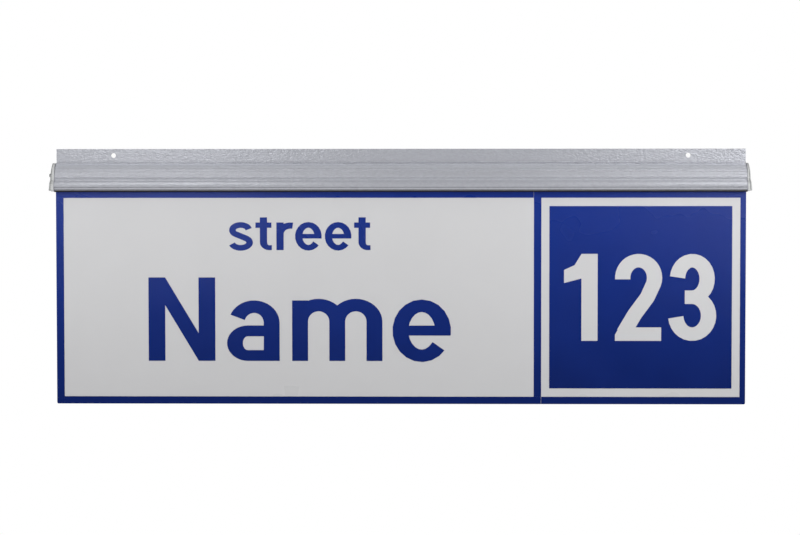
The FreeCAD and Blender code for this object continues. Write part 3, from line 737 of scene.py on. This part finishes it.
def make_lamp(name, spot, width, height, watts, aim_side):
    """A soft light, turned to a place along the sign."""
    data = bpy.data.lights.new(name, "AREA")
    data.shape = "RECTANGLE"
    data.size = width
    data.size_y = height
    data.energy = watts
    lamp = bpy.data.objects.new(name, data)
    bpy.context.scene.collection.objects.link(lamp)
    lamp.location = spot
    aim = Vector((aim_side, 0.0, AIM_RISE)) - lamp.location
    lamp.rotation_euler = aim.to_track_quat("-Z", "Y").to_euler()
    return lamp


def make_lamps():
    """Two soft boxes for the light and two strips for the gloss."""
    for side, watts in ((-LAMP_SIDE, LEFT_WATTS), (LAMP_SIDE, RIGHT_WATTS)):
        soft_box = make_lamp("box", (side, -LAMP_OUT, LAMP_RISE), LAMP_SIZE, LAMP_SIZE, watts, 0.0)
        soft_box.visible_glossy = False
    for spot, rise, width, watts in (
        (LEFT_STRIP_SPOT, LEFT_STRIP_RISE, LEFT_STRIP_WIDTH, LEFT_STRIP_WATTS),
        (RIGHT_STRIP_SPOT, RIGHT_STRIP_RISE, RIGHT_STRIP_WIDTH, RIGHT_STRIP_WATTS),
    ):
        strip = make_lamp("strip", (spot, -STRIP_OUT, rise), width, STRIP_HEIGHT, watts, spot)
        strip.visible_diffuse = False


def make_world():
    """White behind everything, a dim room in the gloss of what looks forward, and soft fill."""
    world = bpy.data.worlds.new("room")
    bpy.context.scene.world = world
    world.use_nodes = True
    tree = world.node_tree
    light = tree.nodes["Background"]
    light.inputs["Color"].default_value = WHITE
    path = tree.nodes.new("ShaderNodeLightPath").outputs
    _, y, _ = split(tree, tree.nodes.new("ShaderNodeTexCoord").outputs["Generated"])
    seen = maths(tree, "MAXIMUM", path["Is Camera Ray"], path["Is Transmission Ray"])
    glossy = maths(tree, "MULTIPLY", path["Is Glossy Ray"], remap(tree, y, ROOM_SPAN, (ROOM_GLOSS, 1.0)))
    shown = maths(tree, "MAXIMUM", seen, glossy)
    plain = maths(tree, "SUBTRACT", 1.0, maths(tree, "MAXIMUM", seen, path["Is Glossy Ray"]))
    fill = maths(tree, "MULTIPLY", plain, FILL)
    tree.links.new(maths(tree, "ADD", shown, fill), light.inputs["Strength"])


def make_floor():
    """A pale, faintly cloudy floor, which the camera sees somewhat paler than its light makes it."""
    left, right = -FLOOR_HALF, FLOOR_HALF
    front, back = -FLOOR_HALF, FLOOR_BACK
    corners = [(left, front), (right, front), (right, back), (left, back)]
    mesh = bpy.data.meshes.new("floor")
    mesh.from_pydata([(x, y, -FLOOR_DROP) for x, y in corners], [], [(0, 1, 2, 3)])
    floor = bpy.data.objects.new("floor", mesh)
    bpy.context.scene.collection.objects.link(floor)
    colour = (FLOOR_SHADE, FLOOR_SHADE, FLOOR_SHADE)
    paint, tree, shader = material("floor", colour, FLOOR_ROUGH)
    vary(tree, shader, colour, noise(tree, place(tree), FLOOR_CLOUD), FLOOR_DRIFT)
    shader.inputs["Emission Color"].default_value = WHITE
    seen = tree.nodes.new("ShaderNodeLightPath").outputs["Is Camera Ray"]
    tree.links.new(maths(tree, "MULTIPLY", seen, FLOOR_GLOW), shader.inputs["Emission Strength"])
    mesh.materials.append(paint)


def dress(paints):
    """Gives each piece of the frame the material of its slot."""
    for part in frame["record"]["subparts"]:
        node = frame["nodes"][part["node"]]
        node.data.materials.clear()
        node.data.materials.append(paints[part["material_slot"]])


paints = make_paints()
dress(paints)
lettering(paints)
make_camera()
make_world()
make_lamps()
make_floor()
bpy.context.scene.view_settings.view_transform = "Standard"
